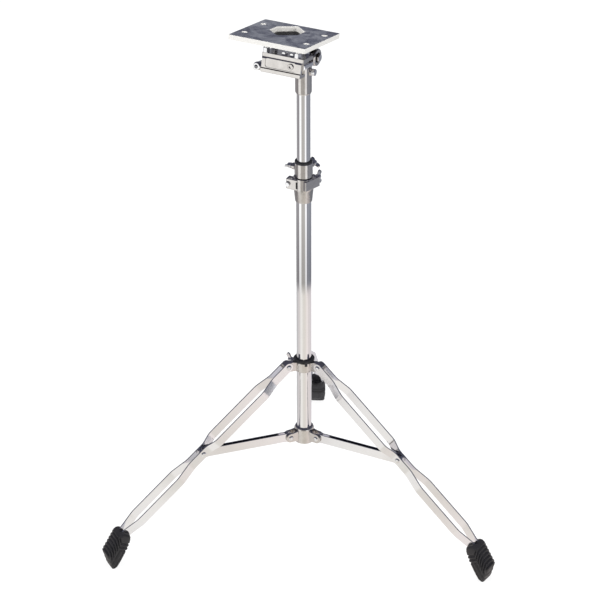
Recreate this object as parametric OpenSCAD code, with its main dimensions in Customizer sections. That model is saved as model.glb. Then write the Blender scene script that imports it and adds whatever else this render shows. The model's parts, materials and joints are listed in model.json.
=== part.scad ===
// Double-braced tripod stand with a tilting rectangular mounting plate, millimetres.
// Z is up, the floor is z = 0, X runs along the plate's hinge. The column stands at (column_x, column_y).

/* [Column] */
// column axis offset from the centre of the footprint, X
column_x = -76.1; // [-200:0.1:200]
// column axis offset from the centre of the footprint, Y
column_y = -28.3; // [-200:0.1:200]
// outside diameter of the base tube
base_od = 28.6; // [25:0.1:40]
// inside diameter of the base tube
base_id = 25.6; // [20:0.1:36]
// height of the base tube's lower end
base_bottom = 168; // [100:1:300]
// height of the base tube's upper end
base_top = 744; // [500:1:900]
// outside diameter of the upper tube
upper_od = 25.4; // [19:0.1:36]
// wall of the upper tube
upper_wall = 1.5; // [0.8:0.1:3]
// height of the upper tube's lower end
upper_bottom = 420; // [300:1:700]
// height of the upper tube's upper end
upper_top = 972; // [800:1:1200]

/* [Legs] */
// direction of the first leg, measured from X
leg_turn = -8; // [-60:1:60]
// distance of the leg pivots from the column axis
leg_pivot_r = 36; // [25:0.5:60]
// height of the leg pivots
leg_pivot_z = 345.5; // [250:0.5:500]
// slope of a leg below the horizontal
leg_slope = 38.34; // [20:0.01:70]
// distance from a leg's upper pivot to its brace pivot
leg_mid = 234.2; // [150:0.1:350]
// width of a leg strip
strip_w = 18.5; // [10:0.5:30]
// thickness of a leg strip
strip_t = 2.5; // [1.5:0.1:5]
// half spacing of the strips where they are pinched together
pinch = 6.6; // [5:0.1:12]
// half spacing of the strips where they are spread
spread = 15.3; // [8:0.1:25]

/* [Braces] */
// distance of the brace pivots from the column axis
brace_pivot_r = 32.5; // [25:0.5:60]
// height of the brace pivots
brace_pivot_z = 184; // [120:0.5:260]
// slope of a brace above the horizontal
brace_slope = 5.02; // [-20:0.01:30]
// length of a brace between its pivots
brace_len = 187.8; // [120:0.1:300]
// outside width of the brace channel
brace_w = 9.6; // [6:0.1:14]
// height of the brace channel
brace_h = 18; // [10:0.5:26]

/* [Head] */
// height of the tilt hinge
hinge_z = 993; // [800:1:1200]
// tilt of the plate about the hinge, far edge up is positive
tilt = -11; // [-60:1:20]
// side of the square mounting plate
plate_side = 150; // [80:1:300]
// thickness of the mounting plate
plate_t = 9; // [3:0.5:20]
// plate centre along the hinge
plate_x = -16; // [-60:1:60]
// plate centre across the hinge
plate_u = -53.8; // [-100:0.1:0]
// height of the plate's top face above the hinge
plate_w = 46.2; // [20:0.1:80]
// width of the hexagonal window along the hinge
window_w = 54; // [20:1:100]
// length of the window's straight sides
window_side = 30; // [4:1:80]
// shift of the window towards the hinge
window_shift = 24; // [0:0.5:40]
// thickness of the black sheet that closes the window from below
backing_t = 4; // [1:0.5:8]

/* [Hidden] */
r_base = base_od / 2;
r_upper = upper_od / 2;
legs = [leg_turn, leg_turn + 120, leg_turn + 240];
slab_top = 8.2;
body_x0 = -53.3;
foot_start = 455;
foot_bend = 20;
foot_half = 19.5;
win_x = plate_x - 6;
win_u = plate_u + window_shift;
post_u = plate_u + 13;
under = plate_w - plate_t;
backing_u = -30;

chrome = [0.80, 0.80, 0.82];
zinc = [0.70, 0.70, 0.72];
plain = [0.62, 0.63, 0.67];
black = [0.05, 0.05, 0.05];

$fn = 48;

// places what is drawn about the column's axis
module at_column() {
  translate([column_x, column_y, 0])
    children();
}

// a ring standing on z0
module ring(z0, z1, r_out, r_in) {
  translate([0, 0, z0])
    difference() {
      cylinder(h = z1 - z0, r = r_out);
      translate([0, 0, -1])
        cylinder(h = z1 - z0 + 2, r = r_in);
    }
}

// a round bar along Y from y0 to y1
module bar_y(y0, y1, r) {
  translate([0, y0, 0])
    rotate([-90, 0, 0])
      cylinder(h = y1 - y0, r = r);
}

// a round bar along X from x0 to x1
module bar_x(x0, x1, r) {
  translate([x0, 0, 0])
    rotate([0, 90, 0])
      cylinder(h = x1 - x0, r = r);
}

// leg axes: X down the leg, Y across the two strips, Z the strip's width
module at_leg(k) {
  at_column()
    rotate([0, 0, legs[k]])
      translate([leg_pivot_r, 0, leg_pivot_z])
        rotate([0, leg_slope, 0])
          children();
}

// brace axes: X out along the brace, Y across it
module at_brace(k) {
  at_column()
    rotate([0, 0, legs[k]])
      translate([brace_pivot_r, 0, brace_pivot_z])
        rotate([0, -brace_slope, 0])
          children();
}

// head axes: X along the hinge, Y across it, Z out of the plate
module at_head() {
  at_column()
    translate([0, 0, hinge_z])
      rotate([tilt, 0, 0])
        children();
}

// a wing screw along X: shank from x0 to x1, hub beyond it, wings that reach out to each side
module wing_screw(x0, x1, r, reach, turn) {
  bar_x(x0, x1 + 1, r);
  bar_x(x1, x1 + 9, r + 2.4);
  rotate([turn, 0, 0])
    for (s = [-1, 1])
      translate([0, 0, -1.6])
        linear_extrude(height = 3.2)
          hull() {
            translate([x1 + 5, s * 4])
              square([7, 2], center = true);
            translate([x1 + 9.5, s * (reach - 5)])
              circle(r = 5, $fn = 32);
          }
}

// ---------------------------------------------------------------- column

module base_tube() {
  color(chrome)
    at_column()
      ring(base_bottom, base_top, r_base, base_id / 2);
}

module base_plug() {
  color(black)
    at_column()
      translate([0, 0, base_bottom - 2.5])
        union() {
          cylinder(h = 2.4, r = r_base);
          translate([0, 0, 2.4])
            cylinder(h = 14, r = base_id / 2 - 0.05);
        }
}

module brace_collar() {
  color(chrome)
    at_column()
      difference() {
        union() {
          translate([0, 0, 169])
            cylinder(h = 30, r = 19.6);
          translate([0, 0, 197])
            cylinder(h = 4, r1 = 19.6, r2 = 17.4);
          for (a = legs)
            rotate([0, 0, a])
              for (s = [-1, 1])
                hull() {
                  translate([brace_pivot_r, s * 6.95, brace_pivot_z])
                    bar_y(-1.75, 1.75, 9.4);
                  translate([14.6, s * 6.95 - 1.75, brace_pivot_z - 11])
                    cube([3, 3.5, 23]);
                }
        }
        translate([0, 0, 160])
          cylinder(h = 50, r = r_base + 0.02);
        for (a = legs)
          rotate([0, 0, a])
            translate([brace_pivot_r, 0, brace_pivot_z])
              bar_y(-12, 12, 3.02);
      }
}

module brace_pins() {
  color(chrome)
    at_column()
      for (a = legs)
        rotate([0, 0, a])
          translate([brace_pivot_r, 0, brace_pivot_z]) {
            bar_y(-8.8, 8.8, 3);
            for (s = [0, 180])
              rotate([0, 0, s])
                translate([0, 8.72, 0])
                  rotate([-90, 0, 0])
                    cylinder(h = 2.4, r1 = 5.2, r2 = 3.2);
          }
}

// ---------------------------------------------------------------- height clamp

module tube_clamp() {
  color(zinc)
    at_column()
      difference() {
        union() {
          translate([0, 0, 697])
            cylinder(h = 27, r1 = 16.1, r2 = 18.6);
          translate([0, 0, 723])
            cylinder(h = 24.5, r = 19.2);
          translate([-27, -20.5, 725])
            cube([24.6, 14.5, 21]);
          rotate([0, 0, 70])
            translate([-14, -19.8, 725.5])
              cube([37, 16.6, 20]);
        }
        translate([0, 0, 690])
          cylinder(h = base_top - 690 + 0.2, r = r_base + 0.02);
        translate([0, 0, 740])
          cylinder(h = 10, r = 13.6);
        translate([-6.6, -24, 728.5])
          cube([3.4, 6, 14]);
        translate([-23, 0, 735.5])
          bar_y(-30, 0, 2.6);
        rotate([0, 0, 70])
          translate([20, -11.6, 720])
            cube([10, 2.8, 30]);
        translate([0, 0, 736.5])
          rotate([0, 0, 61])
            bar_x(10, 60, 3.05);
      }
}

module clamp_bushing() {
  color(black)
    at_column()
      ring(base_top + 0.4, 747.8, 13.55, r_upper + 0.06);
}

module clamp_hinge_bolt() {
  color(chrome)
    at_column()
      translate([-23, 0, 735.5]) {
        bar_y(-21, -4.5, 2.5);
        translate([0, -23.9, 0])
          rotate([-90, 0, 0])
            cylinder(h = 3.3, r = 5, $fn = 6);
        bar_y(-5.9, -2.9, 3.5);
      }
}

module clamp_wing_bolt() {
  color(chrome)
    at_column()
      translate([0, 0, 736.5])
        rotate([0, 0, 61])
          wing_screw(18, 29, 3, 13.2, 90);
}

// ---------------------------------------------------------------- leg collar

module leg_collar() {
  color(chrome)
    at_column()
      difference() {
        union() {
          translate([0, 0, 331])
            cylinder(h = 19.8, r = 19.4);
          for (a = legs)
            rotate([0, 0, a])
              hull() {
                translate([leg_pivot_r, 0, leg_pivot_z - 0.5])
                  bar_y(-5.05, 5.05, 8.8);
                translate([13, -5.05, 332])
                  cube([4, 10.1, 18.6]);
              }
          rotate([0, 0, leg_turn + 180])
            translate([0, 0, 341])
              bar_x(15, 25, 7.2);
        }
        translate([0, 0, 320])
          cylinder(h = 50, r = 16.02);
        translate([0, 0, 350.82])
          cylinder(h = 20, r = 20.5);
        for (a = legs)
          rotate([0, 0, a])
            translate([leg_pivot_r, 0, leg_pivot_z])
              bar_y(-12, 12, 3.22);
        rotate([0, 0, leg_turn + 180])
          translate([0, 0, 341])
            bar_x(10, 40, 3.05);
      }
}

module leg_collar_bushing() {
  color(black)
    at_column()
      difference() {
        union() {
          translate([0, 0, 350.9])
            cylinder(h = 5, r = 20.4);
          translate([0, 0, 329.5])
            cylinder(h = 22, r = 16);
        }
        translate([0, 0, 320])
          cylinder(h = 50, r = r_base + 0.06);
        translate([0, 0, 349])
          rotate([0, 0, leg_turn + 300])
            translate([17, -2, -1])
              cube([8, 4, 12]);
      }
}

module leg_pins() {
  color(chrome)
    at_column()
      for (a = legs)
        rotate([0, 0, a])
          translate([leg_pivot_r, 0, leg_pivot_z]) {
            bar_y(-8, 8, 3.2);
            for (s = [0, 180])
              rotate([0, 0, s])
                translate([0, 7.95, 0])
                  rotate([-90, 0, 0])
                    cylinder(h = 2.6, r1 = 5.4, r2 = 3.4);
          }
}

module leg_collar_wing_bolt() {
  color(chrome)
    at_column()
      rotate([0, 0, leg_turn + 180])
        translate([0, 0, 341])
          wing_screw(16.3, 27, 3, 15, 80);
}

// ---------------------------------------------------------------- legs

// outline of one bent strip seen along its width, on the +Y side of the leg
module strip_outline() {
  h = strip_t / 2;
  path = [
    [-9, pinch], [34, pinch], [42, pinch + 0.9], [66, spread - 0.9], [74, spread],
    [196, spread], [202, spread - 1.2], [217, pinch + 1.2], [223, pinch],
    [261, pinch], [269, pinch + 0.9], [297, spread - 0.9], [306, spread],
    [408, spread], [414, spread - 0.9], [444, pinch + 0.9], [450, pinch], [466, pinch]
  ];
  polygon(concat(
    [for (p = path) [p[0], p[1] + h]],
    [for (i = [len(path) - 1:-1:0]) [path[i][0], path[i][1] - h]]
  ));
}

module strip(k, side) {
  color(chrome)
    at_leg(k)
      mirror([0, side < 0 ? 1 : 0, 0])
        difference() {
          intersection() {
            translate([0, 0, -strip_w / 2])
              linear_extrude(height = strip_w)
                strip_outline();
            union() {
              rotate([90, 0, 0])
                translate([0, 0, -30])
                  cylinder(h = 60, r = strip_w / 2);
              translate([0, -30, -20])
                cube([480, 60, 40]);
            }
          }
          bar_y(0, 20, 3.3);
          translate([leg_mid, 0, 0])
            bar_y(0, 20, 3.25);
          translate([426, 0, 0])
            bar_y(0, 30, 2.05);
        }
}

module leg_1_strip_a() { strip(0, 1); }
module leg_1_strip_b() { strip(0, -1); }
module leg_2_strip_a() { strip(1, 1); }
module leg_2_strip_b() { strip(1, -1); }
module leg_3_strip_a() { strip(2, 1); }
module leg_3_strip_b() { strip(2, -1); }

// the short headed rivets of one leg, at the brace pivot
module leg_rivets(k) {
  color(chrome)
    at_leg(k)
      for (s = [0, 180])
        rotate([s, 0, 0]) {
          translate([leg_mid, 0, 0]) {
            bar_y(pinch - 1.25, pinch + 1.4, 3.2);
            translate([0, pinch + 1.28, 0])
              rotate([-90, 0, 0])
                cylinder(h = 2.4, r1 = 5.4, r2 = 3.4);
          }
        }
}

module leg_1_rivets() { leg_rivets(0); }
module leg_2_rivets() { leg_rivets(1); }
module leg_3_rivets() { leg_rivets(2); }

// a rounded block down the leg, half sizes a across the strips and b across the leg
module foot_block(x0, x1, a, b) {
  translate([x0, 0, 0])
    rotate([0, 90, 0])
      linear_extrude(height = x1 - x0)
        offset(r = 6, $fn = 40)
          square([2 * b - 12, 2 * a - 12], center = true);
}

// side view of a foot: X down its axis, Y towards the upper side of the leg
foot_side = [
  [-9, -8], [-9, 8], [-5, 13.5], [1, 15], [45, 16.5], [66, -6], [70, -12],
  [60, -18.5], [42, -21.5], [20, -20.5], [2, -16.5], [-6, -12.5]
];

// ribbed rubber foot, steeper than the leg, with V grooves, cut flat where it meets the floor
module foot(k) {
  color(black)
    intersection() {
      at_leg(k)
        difference() {
          translate([foot_start, 0, 0])
            rotate([0, foot_bend, 0])
              difference() {
                intersection() {
                  rotate([90, 0, 0])
                    linear_extrude(height = 2 * foot_half, center = true)
                      polygon(foot_side);
                  translate([0, 0, -2])
                    foot_block(-12, 74, foot_half, 20);
                }
                for (i = [0:4])
                  for (s = [-1, 1])
                    translate([8 + 7.5 * i, 0, 0])
                      rotate([0, s * 32, 0])
                        translate([-1.3, -30, s > 0 ? 12.5 : -39])
                          cube([2.6, 60, 26]);
              }
          for (s = [-1, 1]) {
            translate([425, s * pinch - 1.4, -9.4])
              cube([41.2, 2.8, 18.8]);
            translate([425, s * (pinch + 0.7) - 1.9, -9.4])
              cube([26, 3.8, 18.8]);
          }
        }
      translate([-600, -600, 0])
        cube([1200, 1200, 400]);
    }
}

module leg_1_foot() { foot(0); }
module leg_2_foot() { foot(1); }
module leg_3_foot() { foot(2); }

// ---------------------------------------------------------------- braces

module brace(k) {
  color(chrome)
    at_brace(k)
      difference() {
        hull() {
          bar_y(-brace_w / 2, brace_w / 2, brace_h / 2);
          translate([brace_len, 0, 0])
            bar_y(-brace_w / 2, brace_w / 2, brace_h / 2);
        }
        translate([-20, -brace_w / 2 + 1.7, -brace_h / 2 + 1.8])
          cube([brace_len + 40, brace_w - 3.4, brace_h]);
        translate([-20, -brace_w / 2 + 1.7, -brace_h])
          cube([31, brace_w - 3.4, brace_h * 2]);
        translate([brace_len - 11, -brace_w / 2 + 1.7, -brace_h])
          cube([31, brace_w - 3.4, brace_h * 2]);
        bar_y(-20, 20, 3.07);
        translate([brace_len, 0, 0])
          bar_y(-20, 20, 3.22);
      }
}

module brace_pin(k) {
  color(chrome)
    at_brace(k)
      translate([brace_len, 0, 0])
        difference() {
          bar_y(-5.05, 5.05, 3.2);
          bar_y(-6, 6, 1.2);
        }
}

module brace_1() { brace(0); }
module brace_2() { brace(1); }
module brace_3() { brace(2); }
module brace_1_pin() { brace_pin(0); }
module brace_2_pin() { brace_pin(1); }
module brace_3_pin() { brace_pin(2); }

// ---------------------------------------------------------------- memory lock

module memory_lock() {
  color(zinc)
    at_column()
      difference() {
        union() {
          translate([0, 0, 748.2])
            cylinder(h = 29.3, r = 17);
          translate([0, 0, 764])
            rotate([0, 0, 74])
              bar_x(13, 24, 6.4);
          translate([0, 0, 764])
            rotate([0, 0, 180])
              bar_x(13, 23, 6.4);
        }
        translate([0, 0, 740])
          cylinder(h = 50, r = 14.62);
        translate([0, 0, 764])
          rotate([0, 0, 74])
            bar_x(10, 40, 3.05);
        translate([0, 0, 764])
          rotate([0, 0, 180])
            bar_x(10, 40, 3.05);
      }
}

module memory_lock_liner() {
  color(black)
    at_column()
      difference() {
        union() {
          translate([0, 0, 748.4])
            cylinder(h = 29.5, r = 14.6);
          translate([0, 0, 777.6])
            cylinder(h = 3, r = 16.6);
        }
        translate([0, 0, 740])
          cylinder(h = 50, r = r_upper + 0.06);
      }
}

module memory_lock_side_screw() {
  color(chrome)
    at_column()
      rotate([0, 0, 180])
        translate([0, 0, 764])
          wing_screw(16, 24, 3, 12, 12);
}

module memory_lock_wing_bolt() {
  color(chrome)
    at_column()
      rotate([0, 0, 74])
        translate([0, 0, 764])
          wing_screw(16, 25.5, 3, 12, 35);
}

// ---------------------------------------------------------------- upper tube

module upper_tube() {
  color(chrome)
    at_column()
      difference() {
        translate([0, 0, upper_bottom])
          cylinder(h = upper_top - upper_bottom, r = r_upper);
        translate([0, 0, upper_bottom - 1])
          cylinder(h = upper_top - upper_bottom + 2, r = r_upper - upper_wall);
      }
}

module upper_plug() {
  color(black)
    at_column()
      union() {
        translate([0, 0, upper_bottom - 3])
          cylinder(h = 2.9, r = r_upper);
        translate([0, 0, upper_bottom - 0.1])
          cylinder(h = 12, r = r_upper - upper_wall - 0.05);
      }
}

module tilter_socket() {
  color(zinc)
    at_column()
      difference() {
        union() {
          translate([0, 0, 921])
            cylinder(h = 51, r = 15.4);
          translate([0, 0, 918])
            cylinder(h = 3, r1 = 13.9, r2 = 15.4);
          hull() {
            translate([0, 0, 966])
              cylinder(h = 6, r = 15.3);
            translate([0, 0, hinge_z])
              bar_x(-10.5, 11.4, 13.2);
          }
          translate([0, 0, 962])
            bar_x(10, 17.4, 6.2);
        }
        translate([0, 0, 900])
          cylinder(h = upper_top - 900 + 0.1, r = r_upper + 0.02);
        translate([0, 0, hinge_z])
          bar_x(-30, 30, 4.05);
        translate([0, 0, 962])
          bar_x(12, 40, 2.55);
        translate([11.45, -20, 974])
          cube([10, 40, 40]);
        translate([-30, -20, 975])
          cube([19.4, 40, 40]);
      }
}

module socket_screw() {
  color(chrome)
    at_column()
      translate([0, 0, 962]) {
        bar_x(12.8, 18, 2.5);
        difference() {
          bar_x(17.7, 24, 6.6);
          for (i = [0:11])
            rotate([i * 30, 0, 0])
              translate([17, 6.9, 0])
                bar_x(0, 8, 0.7);
        }
      }
}

// ---------------------------------------------------------------- tilter

// radial teeth on one face of a ratchet disc
module teeth(x0, h, n) {
  for (i = [0:n - 1])
    rotate([i * 360 / n, 0, 0])
      translate([x0, 0, 7])
        rotate([0, 90, 0])
          linear_extrude(height = h)
            polygon([[0, -0.8], [-8.4, -1.5], [-8.4, 1.5], [0, 0.8]]);
}

module fixed_ratchet() {
  color(zinc)
    at_column()
      translate([0, 0, hinge_z])
        difference() {
          union() {
            bar_x(11.5, 18.6, 16);
            teeth(18.5, 0.9, 20);
          }
          bar_x(0, 40, 4.05);
        }
}

module tilter_bolt() {
  color(chrome)
    at_column()
      translate([0, 0, hinge_z]) {
        bar_x(-29, 29.4, 4);
        translate([29.3, 0, 0])
          rotate([0, 90, 0])
            cylinder(h = 4.6, r = 7.4, $fn = 6);
      }
}

module tilter_wing_nut() {
  color(chrome)
    at_column()
      translate([0, 0, hinge_z])
        difference() {
          union() {
            bar_x(-20.5, -10.9, 6.6);
            for (s = [-1, 1])
              translate([-19.5, s * 7.8, 0])
                rotate([0, 90, 0])
                  linear_extrude(height = 3.6)
                    hull() {
                      square([8, 4], center = true);
                      translate([0, s * 3.6])
                        circle(r = 4.8, $fn = 28);
                    }
          }
          bar_x(-40, 0, 4.06);
        }
}

module moving_ratchet() {
  color(zinc)
    at_head()
      difference() {
        bar_x(19.7, 29, 16);
        bar_x(0, 40, 4.07);
        translate([23.2, 0, -8.6])
          bar_y(-20, -10.1, 3.62);
      }
}

module tilter_arm() {
  color(chrome)
    at_head()
      translate([23.2, 0, -8.6]) {
        bar_y(-16.2, -10.3, 3.6);
        bar_y(-54, -16.2, 5.6);
        bar_y(-55.98, -53.5, 7);
      }
}

// ---------------------------------------------------------------- bracket

// cast channel under the slab, open at the back and at the right end
module bracket_body() {
  color(zinc)
    at_head()
      difference() {
        union() {
          translate([body_x0, 0, 0])
            rotate([90, 0, 90])
              linear_extrude(height = 78.3)
                polygon([
                  [-61, 0.9], [-62, -3], [-62, -19.8], [-64.4, -20.8], [-64.4, -27.2], [-63.6, -28],
                  [-43, -28], [-42, -27], [-42, -22.6], [-55, -22.2], [-56, -21], [-56, -5], [-54.6, -3.4],
                  [-30, -3], [-29, 0.9]
                ]);
          translate([body_x0, 0, 0])
            rotate([90, 0, 90])
              linear_extrude(height = 8.5)
                polygon([
                  [-57, 0.9], [-57, -27.9], [-43, -27.9], [-36, -20], [-32, -6], [-30, 0.9]
                ]);
          translate([4, -63.4, -9.8])
            bar_y(0, 4, 5.6);
          translate([-60.5, -58, -27.5])
            cube([8.5, 14, 15]);
        }
        difference() {
          translate([body_x0 + 7, -63, -18.4])
            hull() {
              translate([4, -1, 4])
                bar_y(0, 4.4, 4);
              translate([57, -1, 4])
                bar_y(0, 4.4, 4);
              translate([57, -1, 12.4])
                bar_y(0, 4.4, 4);
              translate([4, -1, 12.4])
                bar_y(0, 4.4, 4);
            }
          translate([4, -70, -9.8])
            bar_y(0, 20, 5.6);
        }
        translate([-61.5, 0, -20])
          bar_y(-70, -30, 7.03);
        translate([23.2, 0, -8.6]) {
          bar_y(-56, -20, 5.65);
          bar_y(-56, -53.4, 7.05);
        }
        for (x = [-14, 2])
          translate([x, -51, -5])
            cylinder(h = 10, r = 3.03);
        translate([4, -64, -9.8])
          rotate([-90, 0, 0])
            cylinder(h = 2.4, r = 2.9, $fn = 6);
      }
}

module bracket_slab() {
  color(zinc)
    at_head()
      difference() {
        translate([body_x0, -62.7, 1])
          cube([82.8, 42, slab_top - 1]);
        for (x = [-14, 2])
          translate([x, -51, 0])
            cylinder(h = 20, r = 3.1);
        for (x = [-31, 31])
          for (y = [-17.5, 17.5])
            translate([plate_x + x, post_u + y, 0])
              cylinder(h = 20, r = 3.05);
      }
}

module bracket_pin() {
  color(chrome)
    at_head()
      translate([-61.5, 0, -20])
        difference() {
          union() {
            bar_y(-66, -42, 7);
            bar_y(-61, -58.2, 8);
          }
          bar_y(-70, -48, 3.6);
        }
}

module bracket_bolts() {
  color(plain)
    at_head()
      for (x = [-14, 2])
        translate([x, -51, 0]) {
          translate([0, 0, -2.8])
            cylinder(h = 12, r = 3);
          translate([0, 0, slab_top + 0.02])
            cylinder(h = 5.2, r = 6.2, $fn = 6);
        }
}

module plate_standoffs() {
  color(plain)
    at_head()
      for (x = [-31, 31])
        for (y = [-17.5, 17.5])
          translate([plate_x + x, post_u + y, 0])
            difference() {
              union() {
                translate([0, 0, slab_top + 0.02])
                  cylinder(h = 9, r = 6.6, $fn = 6);
                translate([0, 0, slab_top + 8.9])
                  cylinder(h = under - backing_t - slab_top - 8.96, r = 5);
              }
              cylinder(h = 60, r = 3.05);
            }
}

module plate_studs() {
  color(plain)
    at_head()
      for (x = [-31, 31])
        for (y = [-17.5, 17.5])
          translate([plate_x + x, post_u + y, 2])
            cylinder(h = under - 3, r = 3);
}

// corners of the window grown by g: straight sides across the hinge and a point at each end
function window_corners(g) =
  let (a = window_w / 2 + g, b = window_side / 2 + 0.4 * g, c = b + a)
    [[a, -b], [a, b], [0, c], [-a, b], [-a, -b], [0, -c]];

module at_backing_screws() {
  for (x = [-42, 42])
    for (y = [-39, 39])
      translate([win_x + x, backing_u + y, 0])
        children();
}

module plate_backing() {
  color(black)
    at_head()
      difference() {
        translate([win_x - 46, backing_u - 43, under - backing_t])
          cube([92, 86, backing_t - 0.02]);
        for (x = [-31, 31])
          for (y = [-17.5, 17.5])
            translate([plate_x + x, post_u + y, 0])
              cylinder(h = 60, r = 3.05);
        at_backing_screws()
          cylinder(h = 60, r = 2.05);
      }
}

module backing_screws() {
  color(plain)
    at_head()
      at_backing_screws() {
        translate([0, 0, under - backing_t - 2.42])
          cylinder(h = 2.4, r = 3.6);
        translate([0, 0, under - backing_t - 1])
          cylinder(h = backing_t + 6, r = 2);
      }
}

module mounting_plate() {
  color(plain)
    at_head()
      difference() {
        translate([plate_x - plate_side / 2, plate_u - plate_side / 2, under])
          cube([plate_side, plate_side, plate_t]);
        translate([win_x, win_u, under - 1]) {
          linear_extrude(height = plate_t + 2)
            polygon(window_corners(0));
          translate([0, 0, plate_t - 0.2])
            linear_extrude(height = 1.3, scale = 1.04)
              polygon(window_corners(0.6));
        }
        for (x = [-61, 61])
          for (y = [-38.5, 38.5])
            translate([plate_x + x, plate_u + y, under - 1]) {
              cylinder(h = plate_t + 2, r = 3.3);
              translate([0, 0, plate_t - 1])
                cylinder(h = 2.1, r1 = 3.3, r2 = 5.4);
            }
        at_backing_screws()
          translate([0, 0, under - 1])
            cylinder(h = 6.5, r = 2.05);
      }
}

base_tube();
base_plug();
brace_collar();
brace_pins();
tube_clamp();
clamp_bushing();
clamp_hinge_bolt();
clamp_wing_bolt();
leg_collar();
leg_collar_bushing();
leg_pins();
leg_collar_wing_bolt();
leg_1_strip_a();
leg_1_strip_b();
leg_1_rivets();
leg_1_foot();
leg_2_strip_a();
leg_2_strip_b();
leg_2_rivets();
leg_2_foot();
leg_3_strip_a();
leg_3_strip_b();
leg_3_rivets();
leg_3_foot();
brace_1();
brace_1_pin();
brace_2();
brace_2_pin();
brace_3();
brace_3_pin();
memory_lock();
memory_lock_liner();
memory_lock_side_screw();
memory_lock_wing_bolt();
upper_tube();
upper_plug();
tilter_socket();
socket_screw();
fixed_ratchet();
tilter_bolt();
tilter_wing_nut();
moving_ratchet();
tilter_arm();
bracket_body();
bracket_slab();
bracket_pin();
bracket_bolts();
plate_standoffs();
plate_studs();
plate_backing();
backing_screws();
mounting_plate();
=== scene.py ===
"""Chromed double-braced tripod stand with a tilting mounting plate. Shapes in millimetres, placed in metres."""

import json
from math import atan2, cos, pi, radians, sin, tan

import bmesh
import bpy
from mathutils import Matrix, Vector


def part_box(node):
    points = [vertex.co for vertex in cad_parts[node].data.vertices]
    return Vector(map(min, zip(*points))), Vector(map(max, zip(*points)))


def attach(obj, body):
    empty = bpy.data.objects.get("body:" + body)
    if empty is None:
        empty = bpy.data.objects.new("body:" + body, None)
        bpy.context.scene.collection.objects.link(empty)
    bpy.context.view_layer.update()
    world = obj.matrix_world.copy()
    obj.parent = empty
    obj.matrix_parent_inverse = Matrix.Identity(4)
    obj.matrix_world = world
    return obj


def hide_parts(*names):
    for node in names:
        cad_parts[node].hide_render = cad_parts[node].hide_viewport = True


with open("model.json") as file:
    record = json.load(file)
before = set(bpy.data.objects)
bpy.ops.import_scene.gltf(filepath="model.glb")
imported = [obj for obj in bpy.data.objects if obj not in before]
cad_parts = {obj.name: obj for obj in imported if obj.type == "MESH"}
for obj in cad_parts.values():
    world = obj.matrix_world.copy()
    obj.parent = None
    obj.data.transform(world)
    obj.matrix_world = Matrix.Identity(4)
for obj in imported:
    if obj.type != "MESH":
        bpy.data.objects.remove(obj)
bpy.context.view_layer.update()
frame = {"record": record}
record = frame["record"]
joints = {j["name"]: j for j in record["behaviour"]["joints"]}
mounts = {m["name"]: m for m in record["mounts"]}

MM = 0.001
ALONG_X = Matrix.Rotation(pi / 2, 4, "Y")
ALONG_Y = Matrix.Rotation(-pi / 2, 4, "X")
FLIP_Y = Matrix.Rotation(pi, 4, "X")


def low_high(node):
    """Lowest and highest corner of a CAD node, in millimetres."""
    lowest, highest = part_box(node)
    return Vector(lowest) / MM, Vector(highest) / MM


def middle(node):
    lowest, highest = low_high(node)
    return (lowest + highest) / 2


def axes(origin, x_axis, z_axis):
    """Place of a piece whose own X and Z lie along the given directions, origin in millimetres."""
    x_axis = Vector(x_axis).normalized()
    y_axis = Vector(z_axis).cross(x_axis).normalized()
    turn = Matrix((x_axis, y_axis, x_axis.cross(y_axis))).transposed().to_4x4()
    return Matrix.Translation(Vector(origin) * MM) @ turn @ Matrix.Scale(MM, 4)


column_axis = middle("base_tube")
column_axis.z = 0
COLUMN = axes(column_axis, (1, 0, 0), (0, 0, 1))
plate_normal = Vector(mounts["plate_top"]["axis"])
hinge_point = Vector((column_axis.x, column_axis.y, joints["tilt"]["pos_m"][2] / MM))
HEAD = axes(hinge_point, (1, 0, 0), plate_normal)


def turn_z(angle):
    return Matrix.Rotation(angle, 4, "Z")


def around(angle, height=0.0):
    """Place at a height on the column, with X pointing out at that angle."""
    return COLUMN @ Matrix.Translation((0, 0, height)) @ turn_z(angle)


def screw_place(joint_name):
    """Place of a radial screw: X runs out along it from the column's axis."""
    joint = joints[joint_name]
    return around(atan2(joint["axis"][1], joint["axis"][0]), joint["pos_m"][2] / MM)


# ---------------------------------------------------------------- shaping tools

def arc(cx, cy, radius, start, end, steps):
    turns = [start + (end - start) * i / steps for i in range(steps + 1)]
    return [(cx + radius * cos(a), cy + radius * sin(a)) for a in turns]


def rounded(corners, steps=5):
    """Outline through corners (x, y, radius), each corner with a radius turned into an arc."""
    points = []
    for i, (x, y, radius) in enumerate(corners):
        if radius <= 0:
            points.append((x, y))
            continue
        here = Vector((x, y))
        before = (Vector(corners[i - 1][:2]) - here).normalized()
        after = (Vector(corners[(i + 1) % len(corners)][:2]) - here).normalized()
        half = before.angle(after) / 2
        centre = here + (before + after).normalized() * radius / sin(half)
        first = here + before * radius / tan(half) - centre
        last = here + after * radius / tan(half) - centre
        swing = first.angle_signed(last)
        for step in range(steps + 1):
            spoke = first.copy()
            spoke.rotate(Matrix.Rotation(-swing * step / steps, 2))
            points.append(tuple(centre + spoke))
    return points


def box_corners(x0, x1, y0, y1, radius):
    return [(x0, y0, radius), (x1, y0, radius), (x1, y1, radius), (x0, y1, radius)]


def chain(bm, points, closed):
    """Joins points with edges; a point is (x, y) or (x, y, z)."""
    verts = [bm.verts.new((p[0], p[1], p[2] if len(p) > 2 else 0)) for p in points]
    pairs = list(zip(verts, verts[1:]))
    if closed:
        pairs.append((verts[-1], verts[0]))
    return verts, [bm.edges.new(pair) for pair in pairs]


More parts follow.
